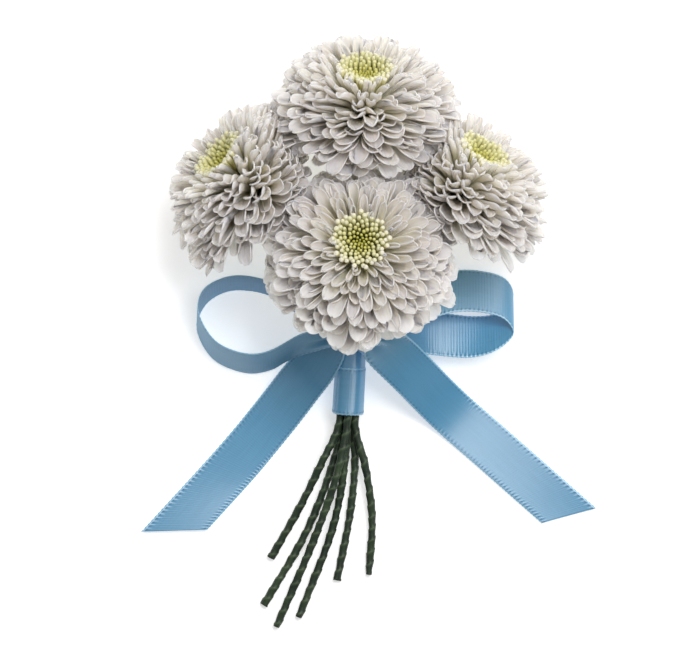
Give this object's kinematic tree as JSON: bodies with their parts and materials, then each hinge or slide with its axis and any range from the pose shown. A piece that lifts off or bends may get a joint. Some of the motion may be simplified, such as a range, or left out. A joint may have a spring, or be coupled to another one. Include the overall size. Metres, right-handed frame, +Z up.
{
  "type": "chrysanthemum boutonniere",
  "caption": "Lapel spray of white cushion chrysanthemums on taped wires, bound with blue satin ribbon and tied in a bow, lying on its back.",
  "frame": {"origin": "on the surface that the boutonniere lies on, under the middle of its bounding box", "axes": "+Y from the wire ends to the blooms, +Z up out of the surface towards the viewer, +X to the right seen from above"},
  "size_m": [0.106, 0.1384, 0.0467],
  "materials": {
    "petal": "fresh white petals, faintly mauve, with a soft matt sheen",
    "young_floret": "unopened yellow-green florets",
    "green_base": "matt green bracts and stalk",
    "floral_tape": "waxed dark green crepe tape over wire",
    "satin_ribbon": "light blue satin with stitched edges"
  },
  "bodies": {
    "root": {"front_bloom_green_base": "green_base", "front_bloom_button": "young_floret", "front_bloom_back_petals": "petal", "front_bloom_outer_petals": "petal", "front_bloom_middle_petals": "petal", "front_bloom_inner_petals": "petal", "top_bloom_green_base": "green_base", "top_bloom_button": "young_floret", "top_bloom_back_petals": "petal", "top_bloom_outer_petals": "petal", "top_bloom_middle_petals": "petal", "top_bloom_inner_petals": "petal", "left_bloom_green_base": "green_base", "left_bloom_button": "young_floret", "left_bloom_back_petals": "petal", "left_bloom_outer_petals": "petal", "left_bloom_middle_petals": "petal", "left_bloom_inner_petals": "petal", "right_bloom_green_base": "green_base", "right_bloom_button": "young_floret", "right_bloom_back_petals": "petal", "right_bloom_outer_petals": "petal", "right_bloom_middle_petals": "petal", "right_bloom_inner_petals": "petal", "wire_1": "floral_tape", "wire_2": "floral_tape", "wire_3": "floral_tape", "wire_4": "floral_tape", "wire_5": "floral_tape", "wire_6": "floral_tape", "handle_wrap": "satin_ribbon", "bow_tie_band": "satin_ribbon", "bow_knot": "satin_ribbon", "bow_loop_left": "satin_ribbon", "bow_loop_right": "satin_ribbon", "bow_tail_left": "satin_ribbon", "bow_tail_right": "satin_ribbon"}
  },
  "joints": []
}
